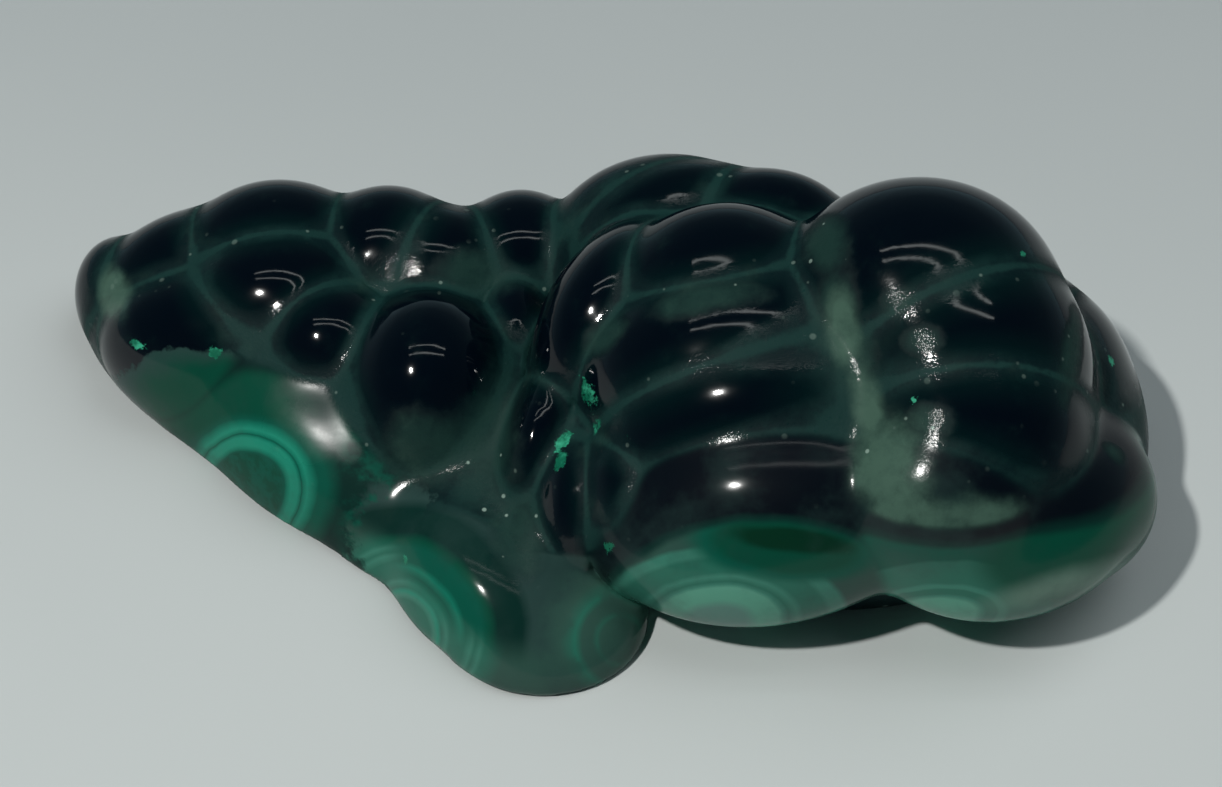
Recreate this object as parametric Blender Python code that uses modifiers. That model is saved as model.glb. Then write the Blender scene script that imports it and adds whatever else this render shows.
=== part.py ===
"""A polished malachite stone: low rounded lumps on top, with steep worked faces along the front.

The stone grew as rounded lumps one against the next. Polishing smoothed the lumps and worked through them
around the lower edge, on the left, at the front tip and along the front right, where the faces curl under
to a low lip. It lies on a flat base.
+X runs along its length, +Y away from the polished front faces and +Z up from the base.
"""
import math

import bmesh
import bpy
from mathutils import Euler, Matrix, Vector

MM = 0.001

# Lumps: centre, half sizes and turn. Lengths in mm, and turns in degrees about X, Y and Z.
LUMPS = [
    # The inside that the lumps sit on
    ("core_left", (-34.5, 19.5, 3.0), (17.0, 10.0, 9.6), (0, 0, 3)),
    ("core_slope", (-26.0, 12.5, 1.5), (18.0, 9.5, 12.0), (0, 0, -47)),
    ("core_saddle", (-18.0, 18.5, 4.0), (15.0, 11.5, 10.6), (0, 0, 0)),
    ("core_ramp", (-12.5, 6.5, 3.5), (9.0, 12.0, 9.6), (0, 0, 0)),
    ("core_valley", (-10.5, 1.0, 0.0), (11.0, 19.0, 10.0), (0, 0, -8)),
    ("core_ridge", (0.5, 1.0, 3.0), (9.0, 13.0, 12.0), (0, 0, -10)),
    ("core_back", (8.0, 19.5, 8.0), (16.0, 9.5, 12.8), (0, 0, 0)),
    ("core_mound", (21.5, 2.0, 8.3), (21.4, 17.0, 17.5), (0, 0, 0)),
    ("core_right", (37.0, 2.0, 5.0), (13.5, 12.5, 14.0), (0, 0, 0)),
    ("core_front", (18.0, -5.0, 3.0), (21.0, 8.2, 8.2), (0, 0, 0)),
    # The low wing on the left
    ("nose", (-49.0, 22.5, 4.3), (4.4, 5.4, 6.0), (0, 0, 0)),
    ("wing_end", (-41.0, 21.8, 6.2), (9.4, 7.4, 7.8), (0, 0, 22)),
    ("wing_back_1", (-32.5, 22.2, 9.5), (9.5, 8.0, 8.0), (0, 0, 0)),
    ("wing_back_2", (-21.8, 21.4, 9.9), (7.6, 7.6, 7.8), (0, 0, 0)),
    ("wing_mid", (-31.6, 15.8, 9.0), (9.4, 7.4, 8.3), (0, 0, 0)),
    ("wing_front", (-37.0, 13.4, 5.6), (12.6, 7.2, 8.6), (0, 0, -8)),
    ("wing_small", (-26.6, 10.3, 9.2), (6.3, 6.2, 6.9), (0, 0, 0)),
    ("wing_bead", (-31.5, 9.5, 7.8), (5.2, 3.6, 4.9), (0, 0, 0)),
    ("wing_dome", (-17.2, 6.4, 6.8), (8.4, 9.8, 11.1), (0, 0, 0)),
    ("wing_pair", (-16.4, 19.2, 9.6), (7.0, 7.0, 7.6), (0, 0, 0)),
    ("saddle_back", (-8.8, 21.8, 9.2), (6.8, 7.4, 7.6), (0, 0, 0)),
    ("eye_dome", (-29.3, 6.4, 2.2), (16.0, 8.6, 9.6), (0, 0, -47)),
    ("eye_side", (-40.0, 11.5, 1.5), (10.0, 4.5, 6.0), (-10, 0, -47)),
    ("eye_foot", (-20.5, -2.5, 0.0), (10.0, 6.5, 8.0), (-25, 0, -47)),
    ("slope_bump", (-23.0, 4.5, 5.0), (4.4, 7.0, 7.8), (0, 0, 25)),
    ("valley_bead", (-9.2, 12.5, 8.5), (3.4, 6.0, 6.0), (0, 0, 0)),
    # The front tip
    ("tip_left", (-12.6, -12.4, 2.0), (10.2, 5.4, 7.0), (0, 0, -55)),
    ("tip_tongue", (-7.0, -12.0, 4.0), (3.3, 9.0, 4.5), (25, 0, -4)),
    ("tip_toe", (-6.0, -14.6, 0.5), (9.4, 8.4, 5.8), (0, 0, 0)),
    # The high mound on the right
    ("mound_back_1", (4.0, 22.8, 13.3), (9.8, 6.3, 7.9), (0, 0, 14)),
    ("mound_back_2", (6.0, 20.3, 15.5), (9.5, 5.2, 7.2), (0, 0, 22)),
    ("mound_back_3", (15.3, 18.5, 16.5), (8.3, 6.2, 7.1), (0, 0, -10)),
    ("mound_edge", (1.0, 9.6, 14.2), (10.8, 6.8, 10.0), (0, 0, 55)),
    ("mound_top", (10.4, 8.4, 19.0), (10.2, 8.6, 9.3), (0, 0, 4)),
    ("crown", (28.0, 6.0, 19.8), (13.4, 11.8, 13.0), (0, 0, 0)),
    ("crown_low", (31.0, 0.4, 18.4), (12.6, 11.6, 12.3), (0, 0, -8)),
    ("crown_foot", (31.6, -6.6, 15.4), (11.6, 10.6, 12.2), (0, 0, -8)),
    ("foot_shelf", (29.3, -12.4, 16.4), (9.0, 7.4, 7.6), (0, 0, 0)),
    ("step_1", (11.4, 2.0, 17.0), (14.2, 8.8, 9.9), (0, -9, 8)),
    ("step_2", (14.6, -3.4, 14.9), (15.4, 8.2, 10.2), (0, -7, 6)),
    ("step_3", (15.6, -10.6, 12.6), (13.2, 8.2, 8.7), (0, 0, 0)),
    ("ridge_bead", (-5.8, 0.2, 8.0), (3.6, 8.0, 7.6), (0, 0, -18)),
    ("ridge_low_1", (-3.0, -6.6, 6.6), (3.8, 6.6, 7.4), (0, 0, -6)),
    ("ridge_low_2", (1.4, -7.9, 9.0), (4.2, 6.6, 7.4), (0, 0, 6)),
    ("right_side", (42.4, 4.2, 6.8), (7.3, 12.2, 12.0), (0, 0, 0)),
    ("right_foot", (42.0, -7.2, 9.0), (7.8, 7.6, 7.8), (0, 0, 10)),
    ("front_right", (34.5, -9.2, 11.2), (13.4, 11.5, 9.6), (0, 0, 10)),
    ("front_long", (13.0, -11.4, 9.8), (14.4, 9.0, 8.2), (0, -6, 0)),
    # The back, turned away from the polished faces
    ("back_1", (-40.0, 22.0, 3.5), (8.8, 7.0, 8.0), (0, 0, 10)),
    ("back_2", (-27.0, 23.0, 4.5), (9.0, 6.5, 8.0), (0, 0, -6)),
    ("back_3", (-13.0, 22.5, 4.0), (9.0, 6.5, 8.0), (0, 0, 0)),
    ("back_4", (0.5, 22.5, 6.0), (8.5, 6.5, 9.0), (0, 0, 5)),
    ("back_5", (13.5, 20.5, 8.0), (9.5, 6.5, 10.0), (0, 0, -12)),
    ("back_6", (26.5, 15.5, 11.0), (9.5, 7.0, 11.0), (0, 0, -18)),
    ("back_7", (37.0, 11.5, 9.5), (8.8, 7.2, 10.5), (0, 0, -25)),
    ("back_8", (25.0, 17.0, 3.5), (9.5, 6.5, 7.5), (0, 0, -14)),
]

LUMP_SEGMENTS = 40
LUMP_RINGS = 20
FUSE_VOXEL = 0.7 * MM
EASE_STEPS = 8
EASE_STRENGTH = 0.5
KEPT_SHARE = 0.13
BASE_BLOCK = 200.0 * MM

STONE_COLOR = (0.010, 0.075, 0.052, 1.0)
STONE_ROUGHNESS = 0.12


def place(centre, half_sizes, turn):
    """The matrix that makes a unit ball into a lump."""
    turned = Euler([math.radians(angle) for angle in turn]).to_matrix().to_4x4()
    sized = Matrix.Diagonal([size * MM for size in half_sizes]).to_4x4()
    return Matrix.Translation(Vector(centre) * MM) @ turned @ sized


def new_object(name, bm, collection):
    """A mesh object made from a bmesh, which is then freed."""
    mesh = bpy.data.meshes.new(name)
    bm.to_mesh(mesh)
    bm.free()
    made = bpy.data.objects.new(name, mesh)
    collection.objects.link(made)
    return made


def make_cutter(cutter):
    """Hide a shape that only cuts."""
    cutter.hide_render = True
    cutter.display_type = "WIRE"
    return cutter


def lump_body(collection):
    """All the lumps in one object, still overlapping."""
    bm = bmesh.new()
    for _name, centre, half_sizes, turn in LUMPS:
        bmesh.ops.create_uvsphere(
            bm,
            u_segments=LUMP_SEGMENTS,
            v_segments=LUMP_RINGS,
            radius=1.0,
            matrix=place(centre, half_sizes, turn),
        )
    return new_object("malachite_stone", bm, collection)


def base_cutter(collection):
    """A block under the stone. Its top is the flat base."""
    bm = bmesh.new()
    bmesh.ops.create_cube(bm, size=BASE_BLOCK, matrix=Matrix.Translation((0.0, 0.0, -BASE_BLOCK / 2)))
    return make_cutter(new_object("base_block", bm, collection))


def fuse_lumps(stone):
    """Fuse the overlapping lumps into one skin, ease its creases and thin out its faces."""
    fuse = stone.modifiers.new("fuse_lumps", "REMESH")
    fuse.mode = "VOXEL"
    fuse.voxel_size = FUSE_VOXEL
    ease = stone.modifiers.new("ease_creases", "SMOOTH")
    ease.factor = EASE_STRENGTH
    ease.iterations = EASE_STEPS
    thin = stone.modifiers.new("thin_out", "DECIMATE")
    thin.ratio = KEPT_SHARE


def cut_base(stone, base):
    """Cut the stone flat underneath."""
    cut = stone.modifiers.new("cut_base", "BOOLEAN")
    cut.operation = "DIFFERENCE"
    cut.solver = "EXACT"
    cut.object = base


def stone_material():
    """Near-black green, highly polished."""
    material = bpy.data.materials.new("malachite")
    material.use_nodes = True
    shader = material.node_tree.nodes["Principled BSDF"]
    shader.inputs["Base Color"].default_value = STONE_COLOR
    shader.inputs["Roughness"].default_value = STONE_ROUGHNESS
    shader.inputs["Metallic"].default_value = 0.0
    return material


def centre_on_base(frame, stone):
    """Move the frame so that the middle of the stone's box stands on the origin."""
    bpy.context.view_layer.update()
    seen = stone.evaluated_get(bpy.context.evaluated_depsgraph_get())
    points = [seen.matrix_world @ vertex.co for vertex in seen.data.vertices]
    low = [min(point[axis] for point in points) for axis in range(3)]
    high = [max(point[axis] for point in points) for axis in range(3)]
    frame.location = (-(low[0] + high[0]) / 2, -(low[1] + high[1]) / 2, -low[2])
    bpy.context.view_layer.update()
    print("box in mm", [round((b - a) / MM, 2) for a, b in zip(low, high)], "faces", len(seen.data.polygons))
    print("moved by mm", [round(value / MM, 2) for value in frame.location])


def main():
    for old in list(bpy.data.objects):
        bpy.data.objects.remove(old, do_unlink=True)
    parts = bpy.data.collections.new("polished_malachite_stone")
    cutters = bpy.data.collections.new("cutters")
    bpy.context.scene.collection.children.link(parts)
    bpy.context.scene.collection.children.link(cutters)

    frame = bpy.data.objects.new("stone_frame", None)
    parts.objects.link(frame)
    stone = lump_body(parts)
    stone.parent = frame
    stone.data.materials.append(stone_material())

    fuse_lumps(stone)
    base = base_cutter(cutters)
    base.parent = frame
    cut_base(stone, base)
    centre_on_base(frame, stone)


main()
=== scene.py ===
"""A polished malachite stone on a plain pale floor.

The stone grew as rounded lumps. Its skin is a near-black green and highly polished, the creases between
the lumps are grey-green and a little rough, and the low faces are worked through to banded green stone.
"""
import math
import bmesh
import bpy
import numpy as np
from mathutils import Euler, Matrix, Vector


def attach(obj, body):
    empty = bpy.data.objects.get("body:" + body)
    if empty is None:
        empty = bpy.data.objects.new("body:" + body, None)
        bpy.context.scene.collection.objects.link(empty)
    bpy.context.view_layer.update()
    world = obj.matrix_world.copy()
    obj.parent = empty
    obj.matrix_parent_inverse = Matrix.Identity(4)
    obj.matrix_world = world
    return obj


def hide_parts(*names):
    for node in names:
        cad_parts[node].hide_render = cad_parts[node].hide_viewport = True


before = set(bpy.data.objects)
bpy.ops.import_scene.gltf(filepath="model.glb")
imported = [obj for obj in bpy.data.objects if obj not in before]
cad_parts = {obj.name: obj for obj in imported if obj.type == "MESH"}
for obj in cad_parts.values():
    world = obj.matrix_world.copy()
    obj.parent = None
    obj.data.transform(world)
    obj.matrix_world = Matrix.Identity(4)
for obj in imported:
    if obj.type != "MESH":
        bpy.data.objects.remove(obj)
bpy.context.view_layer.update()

MM = 0.001

# The lumps were laid out about the middle of the picture. This puts them on the frame's origin, in mm.
STAND = Vector((1.43, -3.63, 0.0))

# Lumps: name, the zone of the stone that each belongs to, centre, half sizes and turn, in mm and degrees.
LUMPS = [
    # The inside that the lumps sit on
    ("core_left", "inside", (-34.5, 19.5, 3.0), (17.0, 10.0, 9.6), (0, 0, 3)),
    ("core_slope", "inside", (-26.0, 12.5, 1.5), (18.0, 9.5, 12.0), (0, 0, -47)),
    ("core_saddle", "inside", (-18.0, 18.5, 4.0), (15.0, 11.5, 10.6), (0, 0, 0)),
    ("core_ramp", "inside", (-12.5, 6.5, 3.5), (9.0, 12.0, 9.6), (0, 0, 0)),
    ("core_valley", "inside", (-10.5, 1.0, 0.0), (11.0, 19.0, 10.0), (0, 0, -8)),
    ("core_ridge", "inside", (0.5, 1.0, 3.0), (9.0, 13.0, 12.0), (0, 0, -10)),
    ("core_back", "inside", (8.0, 19.5, 8.0), (16.0, 9.5, 12.8), (0, 0, 0)),
    ("core_mound", "inside", (21.5, 2.0, 8.3), (21.4, 17.0, 17.5), (0, 0, 0)),
    ("core_right", "inside", (37.0, 2.0, 5.0), (13.5, 12.5, 14.0), (0, 0, 0)),
    ("core_front", "inside", (18.0, -5.0, 3.0), (21.0, 8.2, 8.2), (0, 0, 0)),
    # The low wing on the left
    ("nose", "skin", (-49.0, 22.5, 4.3), (4.4, 5.4, 6.0), (0, 0, 0)),
    ("wing_end", "skin", (-41.0, 21.8, 6.2), (9.4, 7.4, 7.8), (0, 0, 22)),
    ("wing_back_1", "skin", (-32.5, 22.2, 9.5), (9.5, 8.0, 8.0), (0, 0, 0)),
    ("wing_back_2", "skin", (-21.8, 21.4, 9.9), (7.6, 7.6, 7.8), (0, 0, 0)),
    ("wing_mid", "skin", (-31.6, 15.8, 9.0), (9.4, 7.4, 8.3), (0, 0, 0)),
    ("wing_front", "brow", (-37.0, 13.4, 5.6), (12.6, 7.2, 8.6), (0, 0, -8)),
    ("wing_small", "skin", (-26.6, 10.3, 9.2), (6.3, 6.2, 6.9), (0, 0, 0)),
    ("wing_bead", "skin", (-31.5, 9.5, 7.8), (5.2, 3.6, 4.9), (0, 0, 0)),
    ("wing_dome", "skin", (-17.2, 6.4, 6.8), (8.4, 9.8, 11.1), (0, 0, 0)),
    ("wing_pair", "skin", (-16.4, 19.2, 9.6), (7.0, 7.0, 7.6), (0, 0, 0)),
    ("saddle_back", "skin", (-8.8, 21.8, 9.2), (6.8, 7.4, 7.6), (0, 0, 0)),
    ("eye_dome", "eye", (-29.3, 6.4, 2.2), (16.0, 8.6, 9.6), (0, 0, -47)),
    ("eye_side", "eye", (-40.0, 11.5, 1.5), (10.0, 4.5, 6.0), (-10, 0, -47)),
    ("eye_foot", "eye", (-20.5, -2.5, 0.0), (10.0, 6.5, 8.0), (-25, 0, -47)),
    ("slope_bump", "skin", (-23.0, 4.5, 5.0), (4.4, 7.0, 7.8), (0, 0, 25)),
    ("valley_bead", "skin", (-9.2, 12.5, 8.5), (3.4, 6.0, 6.0), (0, 0, 0)),
    # The front tip
    ("tip_left", "tip", (-12.6, -12.4, 2.0), (10.2, 5.4, 7.0), (0, 0, -55)),
    ("tip_tongue", "inside", (-7.0, -12.0, 4.0), (3.3, 9.0, 4.5), (25, 0, -4)),
    ("tip_toe", "toe", (-6.0, -14.6, 0.5), (9.4, 8.4, 5.8), (0, 0, 0)),
    # The high mound on the right
    ("mound_back_1", "skin", (4.0, 22.8, 13.3), (9.8, 6.3, 7.9), (0, 0, 14)),
    ("mound_back_2", "skin", (6.0, 20.3, 15.5), (9.5, 5.2, 7.2), (0, 0, 22)),
    ("mound_back_3", "skin", (15.3, 18.5, 16.5), (8.3, 6.2, 7.1), (0, 0, -10)),
    ("mound_edge", "skin", (1.0, 9.6, 14.2), (10.8, 6.8, 10.0), (0, 0, 55)),
    ("mound_top", "skin", (10.4, 8.4, 19.0), (10.2, 8.6, 9.3), (0, 0, 4)),
    ("crown", "skin", (28.0, 6.0, 19.8), (13.4, 11.8, 13.0), (0, 0, 0)),
    ("crown_low", "skin", (31.0, 0.4, 18.4), (12.6, 11.6, 12.3), (0, 0, -8)),
    ("crown_foot", "skin", (31.6, -6.6, 15.4), (11.6, 10.6, 12.2), (0, 0, -8)),
    ("foot_shelf", "right", (29.3, -12.4, 16.4), (9.0, 7.4, 7.6), (0, 0, 0)),
    ("step_1", "skin", (11.4, 2.0, 17.0), (14.2, 8.8, 9.9), (0, -9, 8)),
    ("step_2", "skin", (14.6, -3.4, 14.9), (15.4, 8.2, 10.2), (0, -7, 6)),
    ("step_3", "long", (15.6, -10.6, 12.6), (13.2, 8.2, 8.7), (0, 0, 0)),
    ("ridge_bead", "skin", (-5.8, 0.2, 8.0), (3.6, 8.0, 7.6), (0, 0, -18)),
    ("ridge_low_1", "skin", (-3.0, -6.6, 6.6), (3.8, 6.6, 7.4), (0, 0, -6)),
    ("ridge_low_2", "skin", (1.4, -7.9, 9.0), (4.2, 6.6, 7.4), (0, 0, 6)),
    ("right_side", "skin", (42.4, 4.2, 6.8), (7.3, 12.2, 12.0), (0, 0, 0)),
    ("right_foot", "right", (42.0, -7.2, 9.0), (7.8, 7.6, 7.8), (0, 0, 10)),
    ("front_right", "right", (34.5, -9.2, 11.2), (13.4, 11.5, 9.6), (0, 0, 10)),
    ("front_long", "long", (13.0, -11.4, 9.8), (14.4, 9.0, 8.2), (0, -6, 0)),
    # The back, turned away from the polished faces
    ("back_1", "skin", (-40.0, 22.0, 3.5), (8.8, 7.0, 8.0), (0, 0, 10)),
    ("back_2", "skin", (-27.0, 23.0, 4.5), (9.0, 6.5, 8.0), (0, 0, -6)),
    ("back_3", "skin", (-13.0, 22.5, 4.0), (9.0, 6.5, 8.0), (0, 0, 0)),
    ("back_4", "skin", (0.5, 22.5, 6.0), (8.5, 6.5, 9.0), (0, 0, 5)),
    ("back_5", "skin", (13.5, 20.5, 8.0), (9.5, 6.5, 10.0), (0, 0, -12)),
    ("back_6", "skin", (26.5, 15.5, 11.0), (9.5, 7.0, 11.0), (0, 0, -18)),
    ("back_7", "skin", (37.0, 11.5, 9.5), (8.8, 7.2, 10.5), (0, 0, -25)),
    ("back_8", "skin", (25.0, 17.0, 3.5), (9.5, 6.5, 7.5), (0, 0, -14)),
]

# Where the dark skin is worn through to bright green: centre and half sizes in mm, and turn about Z.
CHIPS = [
    ((-2.2, -2.2, 17.9), (1.0, 2.8, 2.4), 20),
    ((-1.6, -4.6, 16.4), (0.8, 1.4, 1.6), 0),
    ((-4.4, -4.4, 13.9), (0.9, 1.6, 1.6), -25),
    ((-4.6, -6.5, 13.7), (0.8, 1.6, 1.8), -20),
    ((1.2, -7.5, 18.3), (0.5, 0.6, 0.6), 0),
    ((-37.4, 8.1, 11.8), (0.9, 0.7, 0.8), 0),
    ((-45.2, 10.4, 10.4), (1.6, 0.5, 0.6), -40),
    ((0.2, -14.3, 11.1), (1.2, 1.0, 1.0), 10),
    ((36.4, 3.8, 30.0), (0.4, 0.7, 0.7), 0),
    ((45.7, 2.0, 17.6), (0.5, 0.9, 0.8), 0),
    ((26.1, -9.6, 25.7), (0.5, 0.5, 0.5), 0),
    ((-18.9, -11.5, 5.3), (0.5, 0.7, 0.7), 0),
]

# Where the creases widen into dim grey-green flats, and where dim grey-green is painted as sheen on the
# crown's lumps and along the top of the first step: centre and half sizes in mm, and turn about Z.
DIM_FLATS_AND_SHEEN = [
    ((19.0, 6.0, 29.5), (3.0, 6.6, 4.0), 10),
    ((19.8, -0.5, 28.0), (3.2, 5.6, 4.0), 5),
    ((21.4, -5.4, 25.8), (2.8, 7.0, 4.8), 10),
    ((22.9, -12.0, 22.6), (2.8, 6.6, 5.0), 0),
    ((-11.5, -1.0, 10.8), (6.0, 12.0, 5.0), 0),
    ((-13.0, 15.2, 15.3), (6.0, 3.4, 3.5), 0),
    # painted sheen: the pale band along the top of the first step
    ((8.0, 1.6, 26.2), (9.5, 2.4, 2.8), 3),
    ((-0.6, 1.4, 22.0), (3.6, 2.4, 3.6), 20),
    ((40.5, -3.5, 25.4), (1.6, 8.0, 4.6), -12),
    ((45.5, -8.8, 16.6), (5.0, 1.6, 4.6), 0),
    ((-16.5, -2.8, 11.0), (7.5, 4.6, 5.5), 0),
    # painted sheen: grey streaks on the crown's lumps, which are also made duller
    ((25.0, -1.6, 29.6), (2.6, 2.0, 2.0), 0),
    ((27.0, -5.0, 28.3), (2.6, 2.0, 2.4), 0),
    ((27.6, -11.2, 24.6), (3.4, 2.4, 2.6), 0),
    ((-8.4, -11.6, 9.0), (3.6, 7.0, 4.0), 0),
]

# Where they are palest.
FLATS = [
    ((24.0, -14.0, 22.2), (5.2, 6.4, 5.4), 0),
    ((30.0, -17.4, 20.0), (8.0, 2.8, 2.8), 0),
    ((20.4, -2.5, 27.4), (1.9, 5.0, 3.6), 5),
    ((22.3, -9.0, 24.4), (1.9, 5.0, 3.6), 10),
    ((-48.0, 17.0, 10.0), (2.2, 5.0, 4.2), 20),
    ((24.0, -17.0, 19.6), (3.0, 3.4, 4.0), 0),
]

# Where polishing left a brushed, half-dull gloss: centre and half sizes in mm, and turn about Z.
BRUSHED = [
    ((-28.2, 1.2, 10.6), (7.2, 7.2, 6.0), 0),
    ((-24.2, -1.8, 9.4), (2.0, 2.0, 2.0), 0),
]

GRAIN = 0.45 * MM  # the spacing of the fine surface
LUMP_SEGMENTS = 64
LUMP_RINGS = 32
FILLET = 0.8  # how softly the lumps meet, in mm
BASE_ROUND = 0.7  # how softly the sides meet the base, in mm
SETTLE_STEPS = 6
SETTLE_REACH = 0.25  # how far a point may settle in one step, in mm

# The layers that the worked faces cut: centre and half sizes in mm, and turn about X, Y and Z in degrees.
# All but the last reach deep along the view, so they show as rings there.
DEEP = 70.0
LAYERS = {
    "eye": ((-34.6, -0.9, 2.5), (12.4, 12.4, DEEP), (38, 10, 0)),
    "eye_emerald": ((-37.0, 4.6, 8.6), (8.0, 4.2, DEEP), (38, 10, 0)),
    "brow": ((-37.0, 0.0, 3.4), (16.0, 12.0, DEEP), (38, 10, 0)),
    "tip": ((-19.1, -17.1, 2.1), (12.0, 12.0, DEEP), (39, 0, 0)),
    "toe": ((0.9, -19.5, 3.7), (12.0, 12.0, DEEP), (39, 0, 0)),
    "foot_area": ((-7.6, -19.0, 4.6), (14.6, 7.6, DEEP), (39, 0, 0)),
    "slope_area": ((-19.3, -9.8, 4.4), (5.6, 5.6, DEEP), (39, 0, 0)),
    "long_patch": ((9.6, -20.0, 7.6), (15.0, 9.2, DEEP), (40, -3, 0)),
    "long_emerald": ((15.2, -18.3, 16.4), (7.4, 2.7, DEEP), (40, 10, 0)),
    "long_lens": ((15.8, -18.0, 16.9), (5.2, 1.1, DEEP), (40, 10, 0)),
    "long_rim": ((13.4, -20.0, 5.6), (15.3, 11.0, DEEP), (40, -3, 0)),
    "right_patch": ((29.2, -19.6, 8.0), (10.0, 5.4, DEEP), (40, -7, 0)),
    "right_emerald": ((41.4, -17.2, 14.8), (8.6, 4.6, DEEP), (40, -25, 0)),
    # painted reflection: where the floor's reflection is painted as a pale stripe on the right face
    "right_floor_reflection": ((39.2, -19.6, 12.0), (6.6, 1.6, DEEP), (40, -25, 0)),
    "right_rim": ((31.0, -15.0, 4.4), (24.0, 400.0, 14.0), (0, 0, 0)),
}
EYE_SLOPE = (-25.0 * MM, -21.5 * MM)  # along the length, where the rings give way to mottled teal
TIP_HEIGHT = (3.0 * MM, 6.0 * MM)  # where the tip's pale foot gives way to emerald

# Gloss
STONE_IOR = 1.5
SKIN_ROUGH = 0.07
SMEAR_ROUGH = 0.05
FLAT_ROUGH = 0.03
CHIP_ROUGH = 0.2
FACE_ROUGH = 0.06
BRUSHED_ROUGH = (0.08, 0.18)  # the least, and how much the mottling adds
SKIN_SHINE = 0.34
CREASE_ROUGH = 0.62
CREASE_SHINE = 0.12
CREASE_RELIEF = 0.12 * MM
RELIEF_STRENGTH = 0.35

# Floor
FLOOR_SIZE = 1.5
FLOOR_NEAR = ((0.56, 0.60, 0.60), (0.61, 0.645, 0.64))
# painted shade: the colour that the floor greys to towards the back
FLOOR_FAR_SHADED = ((0.41, 0.45, 0.46), (0.45, 0.485, 0.49))
FLOOR_CHANGE = (-0.04, 0.10)  # from near to far, in metres
FLOOR_ROUGH = 0.6

# Lamps: name, direction, distance, size, power, colour and whether the stone mirrors it.
LAMPS = [
    ("key", (-4.7, -3.5, 10.0), 1.0, 0.05, 6.6, (1.0, 0.99, 0.96), True),
    ("tube_front", (0.0, 0.0, 1.0), 1.0, (1.0, 0.03), 0.38, (0.95, 1.0, 0.99), True),
    ("tube_back", (0.0, 0.17, 0.985), 1.0, (1.0, 0.03), 0.38, (0.95, 1.0, 0.99), True),
    ("fill", (0.6, 0.2, 1.0), 1.6, 1.6, 7.5, (0.93, 0.98, 1.0), False),
]

# The room's brightness from the horizon, 0, to straight up, 1, its tint, and how it grows beyond the stone.
ROOM_STOPS = [(0.0, 0.34), (0.12, 0.22), (0.35, 0.10), (0.7, 0.05), (1.0, 0.04)]
ROOM_TINT = (0.6, 0.9, 1.0)
ROOM_DEPTH = {"From Min": -0.3, "From Max": 0.7, "To Min": 0.42, "To Max": 1.0}

ELEVATION = math.radians(50.0)
CAMERA_DISTANCE = 0.251
CAMERA_LENS = 80.0
CAMERA_SENSOR = 36.0
CAMERA_CLIP = 0.01
AIM_HEIGHT = 0.012
CAMERA_SHIFT = 24.0 / 1222.0


# Shape


def lump_points():
    """One point for each lump, with its half sizes and its turn."""
    mesh = bpy.data.meshes.new("lump_points")
    mesh.from_pydata([Vector(centre) * MM + STAND * MM for _n, _z, centre, _s, _t in LUMPS], [], [])
    sizes = mesh.attributes.new("half_sizes", "FLOAT_VECTOR", "POINT")
    turns = mesh.attributes.new("turn", "FLOAT_VECTOR", "POINT")
    for index, (_name, _zone, _centre, half_sizes, turn) in enumerate(LUMPS):
        sizes.data[index].vector = [size * MM for size in half_sizes]
        turns.data[index].vector = [math.radians(angle) for angle in turn]
    made = bpy.data.objects.new("lump_points", mesh)
    bpy.context.scene.collection.objects.link(made)
    return made


def lump_tree():
    """The growth of the stone: a ball on each point, sized and turned as the point says."""
    tree = bpy.data.node_groups.new("grow_lumps", "GeometryNodeTree")
    tree.interface.new_socket("Geometry", in_out="INPUT", socket_type="NodeSocketGeometry")
    segments = tree.interface.new_socket("Segments", in_out="INPUT", socket_type="NodeSocketInt")
    rings = tree.interface.new_socket("Rings", in_out="INPUT", socket_type="NodeSocketInt")
    stone = tree.interface.new_socket("Stone", in_out="INPUT", socket_type="NodeSocketMaterial")
    tree.interface.new_socket("Geometry", in_out="OUTPUT", socket_type="NodeSocketGeometry")
    given = tree.nodes.new("NodeGroupInput")
    result = tree.nodes.new("NodeGroupOutput")

    def read(name):
        """A point's own vector."""
        node = tree.nodes.new("GeometryNodeInputNamedAttribute")
        node.data_type = "FLOAT_VECTOR"
        node.inputs["Name"].default_value = name
        return node.outputs["Attribute"]

    ball = tree.nodes.new("GeometryNodeMeshUVSphere")
    turned = tree.nodes.new("FunctionNodeEulerToRotation")
    grown = tree.nodes.new("GeometryNodeInstanceOnPoints")
    whole = tree.nodes.new("GeometryNodeRealizeInstances")
    painted = tree.nodes.new("GeometryNodeSetMaterial")
    ball.inputs["Radius"].default_value = 1.0
    tree.links.new(given.outputs["Segments"], ball.inputs["Segments"])
    tree.links.new(given.outputs["Rings"], ball.inputs["Rings"])
    tree.links.new(given.outputs["Geometry"], grown.inputs["Points"])
    tree.links.new(ball.outputs["Mesh"], grown.inputs["Instance"])
    tree.links.new(read("turn"), turned.inputs["Euler"])
    tree.links.new(turned.outputs["Rotation"], grown.inputs["Rotation"])
    tree.links.new(read("half_sizes"), grown.inputs["Scale"])
    tree.links.new(grown.outputs["Instances"], whole.inputs["Geometry"])
    tree.links.new(whole.outputs["Geometry"], painted.inputs["Geometry"])
    tree.links.new(given.outputs["Stone"], painted.inputs["Material"])
    tree.links.new(painted.outputs["Geometry"], result.inputs["Geometry"])
    return tree, segments.identifier, rings.identifier, stone.identifier


def plain_mesh(made):
    """The object's mesh with its modifiers worked in."""
    graph = bpy.context.evaluated_depsgraph_get()
    graph.update()
    return bpy.data.meshes.new_from_object(made.evaluated_get(graph))


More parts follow.
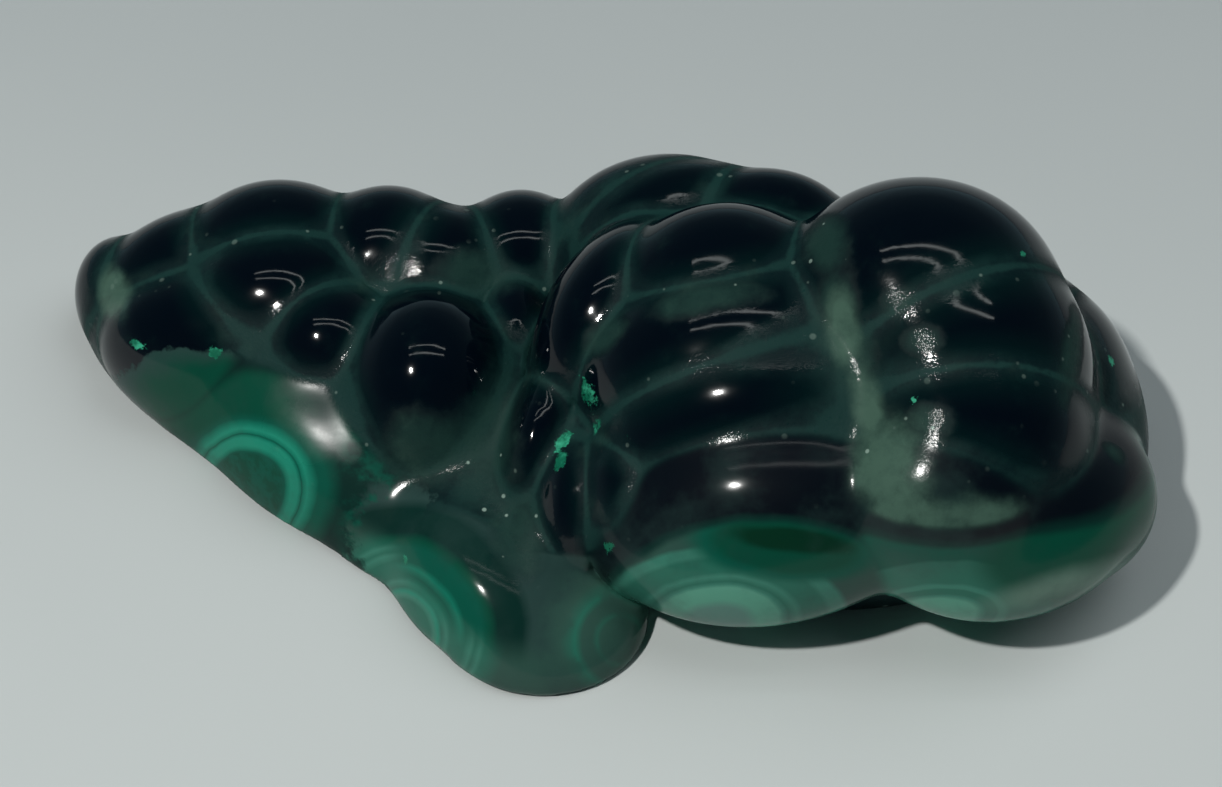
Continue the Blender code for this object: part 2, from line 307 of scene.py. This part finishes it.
def fused_lumps(material):
    """The lumps as one closed skin, cut flat underneath."""
    points = lump_points()
    tree, segments, rings, stone = lump_tree()
    grow = points.modifiers.new("grow_lumps", "NODES")
    grow.node_group = tree
    grow[segments] = LUMP_SEGMENTS
    grow[rings] = LUMP_RINGS
    grow[stone] = material
    fuse = points.modifiers.new("fuse", "REMESH")
    fuse.mode = "VOXEL"
    fuse.voxel_size = GRAIN
    mesh = plain_mesh(points)
    bpy.data.objects.remove(points)

    bm = bmesh.new()
    bm.from_mesh(mesh)
    everything = bm.verts[:] + bm.edges[:] + bm.faces[:]
    bmesh.ops.bisect_plane(bm, geom=everything, plane_co=(0, 0, 0), plane_no=(0, 0, -1), clear_outer=True)
    rim = [edge for edge in bm.edges if edge.is_boundary]
    bmesh.ops.triangle_fill(bm, edges=rim, use_beauty=True, normal=(0, 0, -1))
    bmesh.ops.recalc_face_normals(bm, faces=bm.faces)
    bm.to_mesh(mesh)
    bm.free()
    cut = bpy.data.objects.new("cut_lumps", mesh)
    bpy.context.scene.collection.objects.link(cut)
    again = cut.modifiers.new("even_grain", "REMESH")
    again.mode = "VOXEL"
    again.voxel_size = GRAIN
    even = plain_mesh(cut)
    bpy.data.objects.remove(cut)
    return even


class Lump:
    """One lump, as a measure of how far a point lies from its surface."""

    def __init__(self, zone, centre, half_sizes, turn):
        self.zone = zone
        self.centre = np.array(centre)
        self.sizes = np.array(half_sizes)
        self.turn = np.array(Euler([math.radians(angle) for angle in turn]).to_matrix())

    def measure(self, points):
        """The distance in mm, and the way the lump's surface faces there."""
        local = (points - self.centre) @ self.turn / self.sizes
        slope = local / self.sizes
        size = np.linalg.norm(local, axis=1) + 1e-9
        steep = np.linalg.norm(slope, axis=1) + 1e-9
        return size * (size - 1.0) / steep, (slope / steep[:, None]) @ self.turn.T


def measure_stone(points, lumps):
    """How far points lie from the fused stone, the way it faces there, how much further the second and the
    third lump are than the nearest, and how much each zone has in it."""
    far = []
    ways = []
    for lump in lumps:
        distance, way = lump.measure(points)
        far.append(distance)
        ways.append(way)
    far = np.array(far)
    nearest = far.min(axis=0)
    pull = np.exp(-(far - nearest) / FILLET)
    total = pull.sum(axis=0)
    fused = nearest - FILLET * np.log(total)
    way = np.einsum("lp,lpc->pc", pull, np.array(ways)) / total[:, None]
    zones = {}
    for share, lump in zip(pull / total, lumps):
        zones[lump.zone] = zones.get(lump.zone, 0.0) + share
    ranked = np.partition(far, 2, axis=0)
    return fused, way, ranked[1] - nearest, ranked[2] - nearest, zones


def settle(points, lumps):
    """Move points onto the stone's true surface, with a softly rounded edge at the base."""
    for _step in range(SETTLE_STEPS):
        fused, way, _gap, _corner, _zones = measure_stone(points, lumps)
        under = -points[:, 2]
        edge = np.clip(0.5 + 0.5 * (fused - under) / BASE_ROUND, 0.0, 1.0)
        both = under + (fused - under) * edge + BASE_ROUND * edge * (1.0 - edge)
        facing = way * edge[:, None] + np.array((0.0, 0.0, -1.0)) * (1.0 - edge)[:, None]
        length = np.maximum((facing * facing).sum(axis=1), 0.2)
        move = np.clip(-both / length, -SETTLE_REACH, SETTLE_REACH)
        points = points + facing * move[:, None]
    return points


def patch_strength(points, patches):
    """How far inside a patch each point lies: 1 at a patch's middle and 0 outside all patches."""
    strength = np.zeros(len(points))
    for centre, half_sizes, turn in patches:
        turned = np.array(Euler((0.0, 0.0, math.radians(turn))).to_matrix())
        local = (points - np.array(centre)) @ turned / np.array(half_sizes)
        strength = np.maximum(strength, 1.0 - np.linalg.norm(local, axis=1))
    return strength


def keep_on_mesh(mesh, name, values):
    """Store one number for each point."""
    layer = mesh.attributes.new(name, "FLOAT", "POINT")
    layer.data.foreach_set("value", np.asarray(values, np.float32))


def make_stone(material):
    """The finished stone."""
    mesh = fused_lumps(material)
    count = len(mesh.vertices)
    flat = np.empty(count * 3, np.float32)
    mesh.vertices.foreach_get("co", flat)
    stand = np.array(STAND)
    points = flat.reshape(-1, 3).astype(float) / MM - stand
    lumps = [Lump(zone, centre, sizes, turn) for _name, zone, centre, sizes, turn in LUMPS]
    points = settle(points, lumps)
    points[:, 2] = np.maximum(points[:, 2], 0.0)
    _fused, _way, gap, corner, zones = measure_stone(points, lumps)
    mesh.vertices.foreach_set("co", ((points + stand) * MM).astype(np.float32).ravel())
    keep_on_mesh(mesh, "gap", gap)
    keep_on_mesh(mesh, "corner", corner)
    for zone in ("inside", "brow", "eye", "tip", "toe", "long", "right"):
        keep_on_mesh(mesh, zone, zones[zone])
    keep_on_mesh(mesh, "chip", patch_strength(points, CHIPS))
    keep_on_mesh(mesh, "dim_flat_and_sheen", patch_strength(points, DIM_FLATS_AND_SHEEN))
    keep_on_mesh(mesh, "flat", patch_strength(points, FLATS))
    keep_on_mesh(mesh, "brushed", patch_strength(points, BRUSHED))
    mesh.shade_smooth()
    mesh.update()
    mesh.materials.clear()
    mesh.materials.append(material)
    stone = bpy.data.objects.new("malachite_stone_polished", mesh)
    bpy.context.scene.collection.objects.link(stone)
    return stone


# Finishes


class Wire:
    """A number that varies over the surface, with Python's own arithmetic."""

    def __init__(self, bench, socket):
        self.bench = bench
        self.socket = socket

    def _math(self, operation, first, second=None, clamp=False):
        sockets = {0: first} if second is None else {0: first, 1: second}
        return self.bench.node("ShaderNodeMath", {"operation": operation, "use_clamp": clamp}, sockets)

    def __add__(self, other):
        return self._math("ADD", self, other)

    __radd__ = __add__

    def __sub__(self, other):
        return self._math("SUBTRACT", self, other)

    def __rsub__(self, other):
        return self._math("SUBTRACT", other, self)

    def __mul__(self, other):
        return self._math("MULTIPLY", self, other)

    __rmul__ = __mul__

    def __truediv__(self, other):
        return self._math("DIVIDE", self, other)

    def most(self, other):
        return self._math("MAXIMUM", self, other)

    def least(self, other):
        return self._math("MINIMUM", self, other)

    def clamp(self):
        return self._math("ADD", self, 0.0, clamp=True)

    def step(self, low, high):
        """0 below low and 1 above high, with a smooth rise between."""
        return self.bench.node(
            "ShaderNodeMapRange",
            {"interpolation_type": "SMOOTHSTEP"},
            {"Value": self, "From Min": low, "From Max": high},
        )


def set_stops(ramp, stops):
    """Give a colour ramp its stops."""
    while len(ramp.elements) < len(stops):
        ramp.elements.new(1.0)
    for element, (at, color) in zip(ramp.elements, stops):
        element.position = at
        element.color = (*color, 1.0)


class Bench:
    """Builds one material."""

    def __init__(self, name):
        self.material = bpy.data.materials.new(name)
        self.material.use_nodes = True
        self.tree = self.material.node_tree
        self.shader = self.tree.nodes["Principled BSDF"]

    def node(self, kind, settings=None, sockets=None, out=0):
        """Add a node: its settings first, then its values and links."""
        made = self.tree.nodes.new(kind)
        for name, value in (settings or {}).items():
            setattr(made, name, value)
        self.feed(made, sockets or {})
        return Wire(self, made.outputs[out])

    def feed(self, made, sockets):
        """Give a node's sockets their values and links."""
        for name, value in sockets.items():
            if isinstance(value, Wire):
                self.tree.links.new(value.socket, made.inputs[name])
            else:
                made.inputs[name].default_value = value

    def ramp(self, value, stops):
        """A colour for each value from 0 to 1."""
        made = self.tree.nodes.new("ShaderNodeValToRGB")
        set_stops(made.color_ramp, stops)
        self.feed(made, {0: value})
        return Wire(self, made.outputs[0])

    def blend(self, first, second, factor):
        """Two colours mixed."""
        sockets = {0: factor, 6: self.color(first), 7: self.color(second)}
        return self.node("ShaderNodeMix", {"data_type": "RGBA"}, sockets, out=2)

    @staticmethod
    def color(value):
        """A wire as it is, or a plain colour made opaque."""
        return value if isinstance(value, Wire) else (*value, 1.0)

    def finish(self, second, share):
        """Show a second shader in place of the first wherever the share says."""
        first = Wire(self, self.shader.outputs[0])
        mixed = self.node("ShaderNodeMixShader", None, {0: share, 1: first, 2: second})
        self.tree.links.new(mixed.socket, self.tree.nodes["Material Output"].inputs["Surface"])

    def place(self):
        """The point's place on the stone, in metres."""
        return self.node("ShaderNodeTexCoord", out="Object")

    def stored(self, name):
        """A number kept on the stone's points."""
        return self.node("ShaderNodeAttribute", {"attribute_name": name}, out="Fac")

    def shift(self, vector, scale, by, detail=2.0):
        """A place moved about by noise: the noise's scale per metre, and the largest move in metres."""
        noise = self.node(
            "ShaderNodeTexNoise", None, {"Vector": vector, "Scale": scale, "Detail": detail}, out="Color"
        )
        centred = {0: noise, 1: (0.5, 0.5, 0.5)}
        middle = self.node("ShaderNodeVectorMath", {"operation": "SUBTRACT"}, centred)
        moved = self.node("ShaderNodeVectorMath", {"operation": "SCALE"}, {0: middle, "Scale": 2.0 * by})
        return self.node("ShaderNodeVectorMath", {"operation": "ADD"}, {0: vector, 1: moved})

    def noise(self, vector, scale, detail=3.0, roughness=0.55):
        """Noise from 0 to 1, with its scale per metre."""
        sockets = {"Vector": vector, "Scale": scale, "Detail": detail, "Roughness": roughness}
        return self.node("ShaderNodeTexNoise", None, sockets)

    def specks(self, vector, scale):
        """1 on small dots scattered over the surface, about one to every third cell, and 0 between them."""
        cells = self.tree.nodes.new("ShaderNodeTexVoronoi")
        self.feed(cells, {"Vector": vector, "Scale": scale})
        chosen = self.node("ShaderNodeSeparateColor", None, {0: Wire(self, cells.outputs["Color"])})
        return (1.0 - Wire(self, cells.outputs["Distance"]).step(0.08, 0.16)) * chosen.step(0.66, 0.70)

    def part(self, vector, axis):
        """One of a place's three numbers."""
        return self.node("ShaderNodeSeparateXYZ", None, {0: vector}, out=axis)

    def rings(self, vector, name):
        """How far out a point lies among named layers: 0 at their centre and 1 at their half sizes."""
        centre, half_sizes, turn = LAYERS[name]
        local = self.node(
            "ShaderNodeMapping",
            {"vector_type": "TEXTURE"},
            {
                "Vector": vector,
                "Location": (Vector(centre) + STAND) * MM,
                "Rotation": [math.radians(angle) for angle in turn],
                "Scale": [size * MM for size in half_sizes],
            },
        )
        return self.node("ShaderNodeVectorMath", {"operation": "LENGTH"}, {0: local}, out="Value")


# The stone's colours
SKIN = (0.0006, 0.0028, 0.0062)
SKIN_GREEN = (0.0010, 0.0095, 0.0105)
CREASE_DARK = (0.0012, 0.011, 0.013)
CREASE = (0.007, 0.034, 0.031)
# dim grey-green of the flats, also used as painted sheen
CREASE_DIM_AND_SHEEN = (0.011, 0.040, 0.033)
CREASE_PALE = (0.058, 0.118, 0.088)
CHIP_DARK = (0.003, 0.12, 0.065)
CHIP = (0.045, 0.42, 0.25)
# painted glint: the pale colour of small crystals catching the light
CRYSTAL_GLINT = (0.30, 0.42, 0.36)
EMERALD = (0.0004, 0.062, 0.036)
EMERALD_DEEP = (0.0003, 0.028, 0.013)
TEAL = (0.001, 0.085, 0.055)
TEAL_DARK = (0.0015, 0.024, 0.019)
LEAF = (0.005, 0.17, 0.11)
MINT = (0.014, 0.25, 0.165)
PALE = (0.10, 0.33, 0.235)
PALE_GREY = (0.10, 0.23, 0.19)
# painted reflection: the colour of the floor's reflection on the right face
PAINTED_FLOOR_REFLECTION = (0.17, 0.28, 0.22)
SAGE = (0.022, 0.145, 0.10)
SAGE_PALE = (0.045, 0.21, 0.15)
MOSS = (0.026, 0.115, 0.083)
GREY_GREEN = (0.030, 0.085, 0.066)
GREY = (0.022, 0.055, 0.050)


def eye_bands(bench, place):
    """Clean light and dark rings round a mottled disc, on the left face, with emerald above them."""
    rings = bench.rings(place, "eye")
    above = bench.rings(place, "eye_emerald")
    mottled = bench.blend(TEAL, EMERALD, bench.noise(place, 700.0, 4.0, 0.6).step(0.4, 0.6))
    cloudy = bench.noise(place, 300.0, 4.0, 0.6)
    banded = bench.ramp(
        rings,
        [
            (0.0, TEAL),
            (0.29, TEAL),
            (0.31, LEAF),
            (0.34, MINT),
            (0.39, MINT),
            (0.41, LEAF),
            (0.42, TEAL),
            (0.43, LEAF),
            (0.46, MINT),
            (0.50, LEAF),
            (0.54, TEAL),
            (0.60, TEAL),
            (0.72, TEAL_DARK),
            (0.92, TEAL_DARK),
            (1.0, GREY),
        ],
    )
    banded = bench.blend(banded, mottled, 1.0 - rings.step(0.27, 0.29))
    upper = (1.0 - (above + (cloudy - 0.5) * 0.5).step(0.7, 1.3)) * rings.step(0.52, 0.6)
    banded = bench.blend(banded, EMERALD, upper)
    slope = bench.blend(TEAL_DARK, TEAL, cloudy.step(0.4, 0.6))
    return bench.blend(banded, slope, bench.part(place, "X").step(*EYE_SLOPE))


def tip_bands(bench, place):
    """Layers at the foot of the front tip: emerald and a dark band high up, and pale arcs low down, with
    faint rings on the toe."""
    rings = bench.rings(place, "tip")
    toe = bench.rings(place, "toe")
    high = bench.ramp(
        rings,
        [
            (0.0, SAGE),
            (0.24, LEAF),
            (0.28, SAGE_PALE),
            (0.31, LEAF),
            (0.40, TEAL),
            (0.46, LEAF),
            (0.50, TEAL),
            (0.62, TEAL),
            (0.68, EMERALD),
            (0.74, TEAL_DARK),
            (0.92, TEAL_DARK),
            (1.0, GREY),
        ],
    )
    low = bench.ramp(
        rings,
        [
            (0.0, SAGE),
            (0.22, SAGE),
            (0.25, SAGE_PALE),
            (0.28, MINT),
            (0.31, SAGE),
            (0.35, SAGE_PALE),
            (0.38, SAGE),
            (0.50, SAGE),
            (0.55, SAGE_PALE),
            (0.58, SAGE),
            (0.62, SAGE_PALE),
            (0.65, SAGE),
            (0.80, GREY_GREEN),
            (1.0, GREY_GREEN),
        ],
    )
    toe_rings = bench.ramp(
        toe,
        [
            (0.0, GREY_GREEN),
            (0.15, GREY_GREEN),
            (0.18, MOSS),
            (0.22, GREY_GREEN),
            (0.30, GREY_GREEN),
            (0.35, SAGE),
            (0.39, MOSS),
            (0.46, GREY_GREEN),
            (0.60, GREY),
            (1.0, GREY),
        ],
    )
    banded = bench.blend(low, high, bench.part(place, "Z").step(*TIP_HEIGHT))
    cloudy = bench.noise(place, 240.0, 4.0, 0.6).step(0.42, 0.62)
    toe_rings = bench.blend(toe_rings, GREY_GREEN, cloudy * 0.8)
    return bench.blend(banded, toe_rings, 1.0 - toe.step(0.5, 0.75))


def long_bands(bench, place):
    """A pale patch with rings round it, an emerald lens above, and dark skin over the top edge."""
    patch = bench.rings(place, "long_patch")
    emerald = bench.rings(place, "long_emerald")
    lens = bench.rings(place, "long_lens")
    rim = bench.rings(place, "long_rim")
    banded = bench.ramp(
        patch,
        [
            (0.0, PALE_GREY),
            (0.16, PALE_GREY),
            (0.24, PALE),
            (0.36, PALE),
            (0.39, SAGE_PALE),
            (0.42, SAGE),
            (0.47, SAGE_PALE),
            (0.51, SAGE),
            (0.64, SAGE),
            (0.68, SAGE_PALE),
            (0.74, SAGE_PALE),
            (0.78, GREY_GREEN),
            (1.0, GREY_GREEN),
        ],
    )
    banded = bench.blend(banded, TEAL, 1.0 - emerald.step(0.95, 1.3))
    banded = bench.blend(banded, EMERALD, 1.0 - emerald.step(0.75, 1.0))
    banded = bench.blend(banded, EMERALD_DEEP, 1.0 - lens.step(0.7, 1.3))
    banded = bench.blend(banded, TEAL_DARK, rim.step(0.92, 0.99))
    return bench.blend(banded, SKIN, rim.step(0.98, 1.04))


def right_bands(bench, place, rim):
    """A pale ellipse low down, emerald towards the end with a painted reflection of the floor as a pale
    stripe under it, and dark skin round the rim."""
    patch = bench.rings(place, "right_patch")
    emerald = bench.rings(place, "right_emerald")
    floor_reflection = bench.rings(place, "right_floor_reflection")
    banded = bench.ramp(
        patch,
        [
            (0.0, PALE),
            (0.31, PALE),
            (0.36, SAGE_PALE),
            (0.40, SAGE),
            (0.48, SAGE),
            (0.51, SAGE_PALE),
            (0.55, SAGE_PALE),
            (0.60, SAGE),
            (0.95, SAGE),
            (1.0, TEAL),
        ],
    )
    banded = bench.blend(banded, EMERALD, 1.0 - emerald.step(0.75, 1.15))
    # painted reflection: a pale stripe of the floor's reflection laid over the bands
    banded = bench.blend(banded, PAINTED_FLOOR_REFLECTION, (1.0 - floor_reflection.step(0.1, 1.4)) * 0.85)
    banded = bench.blend(banded, TEAL_DARK, rim.step(0.95, 1.0))
    return bench.blend(banded, SKIN, rim.step(0.99, 1.05))


class Wear:
    """Where the stone is worked, creased, flat, chipped or brushed: each a share from 0 to 1."""

    def __init__(self, bench, place, bent):
        self.uneven = bench.noise(place, 260.0, 4.0, 0.6)
        self.mottle = bench.noise(place, 420.0, 5.0, 0.65)
        self.cloudy = bench.noise(place, 170.0, 6.0, 0.65).step(0.35, 0.65)
        self.right_rim = bench.rings(bent, "right_rim")
        self._find_faces(bench, bent)
        self._find_creases(bench)
        self._find_patches(bench, place)

    def _find_faces(self, bench, bent):
        """The low faces that are worked through to banded stone."""
        ragged = self.cloudy - 0.5
        worked_brow = 1.0 - (bench.rings(bent, "brow") + ragged * 0.1).step(0.92, 1.06)
        brow = bench.stored("brow") * worked_brow
        low_foot = 1.0 - bench.rings(bent, "foot_area").step(0.8, 1.1)
        low_slope = 1.0 - (bench.rings(bent, "slope_area") + ragged * 0.6).step(0.35, 1.35)
        self.foot = (bench.stored("tip") + bench.stored("toe")).most(low_foot).most(low_slope)
        self.eye = bench.stored("eye").most(brow)
        self.long = bench.stored("long")
        self.right = bench.stored("right")
        self.on_face = brow + self.foot + bench.stored("eye") + self.long + self.right
        self.off_face = 1.0 - self.on_face.step(0.3, 0.7)

    def _find_creases(self, bench):
        """Soft lines where two lumps meet, wider where a third one joins them."""
        near = bench.stored("gap")
        meeting = 1.0 - bench.stored("corner").step(0.6, 3.2)
        spread = near / (meeting * 1.4 + 0.9)
        ragged = self.uneven - 0.5
        self.crease = (1.0 - (spread + ragged * 0.5).step(0.0, 1.3)) * self.off_face
        self.line = (1.0 - (spread + ragged * 0.3).step(0.0, 0.35)) * self.off_face
        self.halo = 1.0 - near.step(0.3, 2.6)
        self.inside = bench.stored("inside").step(0.3, 0.8) * self.off_face

    def _find_patches(self, bench, place):
        """Dim and pale flats above the right face's rim, some of them painted sheen, ragged chips and
        brushed gloss.
        """
        above_rim = 1.0 - self.right.step(0.2, 0.5) * (1.0 - self.right_rim.step(1.06, 1.13))
        soft_edge = (self.uneven - 0.5) * 0.7
        self.dim_flat_and_sheen = (bench.stored("dim_flat_and_sheen") + soft_edge).step(0.0, 0.75) * above_rim
        self.flat = (bench.stored("flat") + soft_edge).step(0.0, 0.6) * above_rim
        self.in_crease = self.crease.most(self.inside).most(self.dim_flat_and_sheen * 0.85).most(self.flat)
        chip = bench.stored("chip")
        ragged = chip + (bench.noise(place, 1300.0, 5.0, 0.8) - 0.5) * 2.0
        self.chipped = ragged.step(0.30, 0.44) * chip.step(0.0, 0.1)
        self.brushed = bench.stored("brushed").step(0.0, 0.5)


def stone_color(bench, place, bent, wear):
    """The dark skin, with bands on its worked faces, creases, chips, and small crystals painted pale as
    glints.
    """
    worked = (
        (wear.eye, eye_bands(bench, bent)),
        (wear.foot, tip_bands(bench, bent)),
        (wear.long, long_bands(bench, bent)),
        (wear.right, right_bands(bench, bent, wear.right_rim)),
    )
    streaks = bench.noise(place, 120.0, 5.0, 0.6).step(0.45, 0.7)
    surface = bench.blend(SKIN, SKIN_GREEN, wear.halo)
    for share, bands in worked:
        shaded = bench.blend(bands, bench.blend(bands, GREY, 0.35), streaks)
        surface = bench.blend(surface, shaded, share.step(0.2, 0.65))

    clear = (wear.mottle * 0.4 + wear.cloudy * 0.4 + wear.line * 0.5).step(0.2, 0.8)
    patchy = wear.mottle.step(0.25, 0.6)
    tint = bench.blend(CREASE_DARK, CREASE, clear)
    # dim grey-green on the dim flats, and painted sheen where the patches lie on the crown and the first
    # step
    tint = bench.blend(tint, CREASE_DIM_AND_SHEEN, wear.dim_flat_and_sheen * (patchy * 0.5 + 0.5))
    tint = bench.blend(tint, CREASE_PALE, wear.flat * (patchy * 0.4 + 0.6))
    surface = bench.blend(surface, tint, wear.in_crease)

    chip_tint = bench.blend(CHIP_DARK, CHIP, wear.mottle.step(0.4, 0.62))
    surface = bench.blend(surface, chip_tint, wear.chipped)
    # painted glints: small pale specks where tiny crystals catch the light, mostly in the creases and dim
    # flats
    crystal_glints = bench.specks(place, 620.0).most(bench.specks(place, 410.0) * 0.7)
    seats = (wear.inside * 0.8).most(wear.dim_flat_and_sheen).most(wear.crease * 0.3)
    return bench.blend(surface, CRYSTAL_GLINT, crystal_glints * seats)


def skin_roughness(bench, place, wear):
    """Nearly a mirror on the skin, duller where it is worked, chipped or brushed."""
    least, added = BRUSHED_ROUGH
    rough = wear.flat * FLAT_ROUGH + wear.chipped * CHIP_ROUGH
    rough = rough + wear.brushed * (wear.mottle * added + least)
    rough = rough + wear.on_face.step(0.2, 0.6) * FACE_ROUGH
    return rough + (bench.noise(place, 180.0, 3.0, 0.5) - 0.5) * SMEAR_ROUGH + SKIN_ROUGH


def unpolished_share(bench, place, wear):
    """How far the dull creases show in place of the polish. Small glints stay bright in them."""
    glints = bench.noise(place, 2100.0, 2.0, 0.5).step(0.66, 0.72)
    share = wear.crease.most(wear.inside * 0.85).most(wear.dim_flat_and_sheen.step(0.05, 0.45) * 0.9)
    share = share * (1.0 - wear.flat * 0.35) * (1.0 - glints * 0.5)
    on_faces = (wear.on_face.step(0.2, 0.6) * 0.45).most(bench.stored("eye").clamp() * 0.78)
    return share.most(on_faces * (1.0 - wear.brushed))


def stone_finish():
    """Dark polished skin, grey-green creases, banded worked faces and bright chips."""
    bench = Bench("malachite")
    place = bench.place()
    bent = bench.shift(bench.shift(place, 90.0, 0.0006), 500.0, 0.00012)
    wear = Wear(bench, place, bent)
    relief = bench.noise(place, 2600.0, 3.0, 0.6) * wear.in_crease * (1.0 - wear.flat * 0.8)
    pitted = {"Strength": RELIEF_STRENGTH, "Distance": CREASE_RELIEF, "Height": relief}
    shared = {
        "Base Color": stone_color(bench, place, bent, wear),
        "Normal": bench.node("ShaderNodeBump", None, pitted, out="Normal"),
        "IOR": STONE_IOR,
        "Metallic": 0.0,
    }
    polished = {"Roughness": skin_roughness(bench, place, wear), "Specular IOR Level": SKIN_SHINE}
    dull = {"Roughness": CREASE_ROUGH, "Specular IOR Level": CREASE_SHINE}
    bench.feed(bench.shader, {**shared, **polished})
    unpolished = bench.node("ShaderNodeBsdfPrincipled", None, {**shared, **dull})
    bench.finish(unpolished, unpolished_share(bench, place, wear))
    return bench.material


def floor_finish():
    """A plain pale matt board, with painted shade that greys it a little towards the back."""
    bench = Bench("pale_board")
    place = bench.place()
    tone = bench.noise(place, 14.0, 3.0, 0.5)
    near = bench.blend(*FLOOR_NEAR, tone)
    far = bench.blend(*FLOOR_FAR_SHADED, tone)
    # painted shade: the floor turns greyer towards the back
    surface = bench.blend(near, far, bench.part(place, "Y").step(*FLOOR_CHANGE))
    bench.feed(bench.shader, {"Base Color": surface, "Roughness": FLOOR_ROUGH})
    return bench.material


# Floor, light and camera


def make_floor():
    """A wide pale floor at the stone's base."""
    bm = bmesh.new()
    bmesh.ops.create_grid(bm, x_segments=1, y_segments=1, size=FLOOR_SIZE)
    mesh = bpy.data.meshes.new("floor")
    bm.to_mesh(mesh)
    bm.free()
    mesh.materials.append(floor_finish())
    floor = bpy.data.objects.new("floor", mesh)
    bpy.context.scene.collection.objects.link(floor)
    return floor


def add_lamp(name, towards, distance, size, power, color, mirrored):
    """A soft lamp, that far away in the given direction and aimed at the stone: a disc, or a strip."""
    light = bpy.data.lights.new(name, "AREA")
    if isinstance(size, tuple):
        light.shape = "RECTANGLE"
        light.size, light.size_y = size
    else:
        light.shape = "DISK"
        light.size = size
    light.energy = power
    light.color = color
    lamp = bpy.data.objects.new(name, light)
    direction = Vector(towards).normalized()
    lamp.location = direction * distance
    lamp.rotation_euler = direction.to_track_quat("Z", "Y").to_euler()
    lamp.visible_glossy = mirrored
    bpy.context.scene.collection.objects.link(lamp)


def make_sky():
    """A dim room, paler low down and beyond the stone."""
    world = bpy.data.worlds.new("room")
    world.use_nodes = True
    tree = world.node_tree
    place = tree.nodes.new("ShaderNodeTexCoord")
    split = tree.nodes.new("ShaderNodeSeparateXYZ")
    height = tree.nodes.new("ShaderNodeValToRGB")
    beyond = tree.nodes.new("ShaderNodeMapRange")
    background = tree.nodes["Background"]
    tree.links.new(place.outputs["Generated"], split.inputs["Vector"])
    tree.links.new(split.outputs["Z"], height.inputs["Fac"])
    tree.links.new(height.outputs["Color"], background.inputs["Color"])
    tree.links.new(split.outputs["Y"], beyond.inputs["Value"])
    for name, value in ROOM_DEPTH.items():
        beyond.inputs[name].default_value = value
    tree.links.new(beyond.outputs["Result"], background.inputs["Strength"])
    tinted = [(at, [level * share for share in ROOM_TINT]) for at, level in ROOM_STOPS]
    set_stops(height.color_ramp, tinted)
    bpy.context.scene.world = world


def make_camera():
    """The photograph's view: from in front and well above."""
    data = bpy.data.cameras.new("camera")
    data.lens = CAMERA_LENS
    data.sensor_width = CAMERA_SENSOR
    data.clip_start = CAMERA_CLIP
    data.shift_y = CAMERA_SHIFT
    camera = bpy.data.objects.new("camera", data)
    aim = STAND * MM + Vector((0.0, 0.0, AIM_HEIGHT))
    back = Vector((0.0, -math.cos(ELEVATION), math.sin(ELEVATION)))
    camera.location = aim + back * CAMERA_DISTANCE
    camera.rotation_euler = back.to_track_quat("Z", "Y").to_euler()
    bpy.context.scene.collection.objects.link(camera)
    bpy.context.scene.camera = camera


def main():
    bpy.context.scene.view_settings.view_transform = "Standard"
    stone = make_stone(stone_finish())
    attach(stone, "root")
    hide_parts("malachite_stone")
    make_floor()
    for lamp in LAMPS:
        add_lamp(*lamp)
    make_sky()
    make_camera()


main()
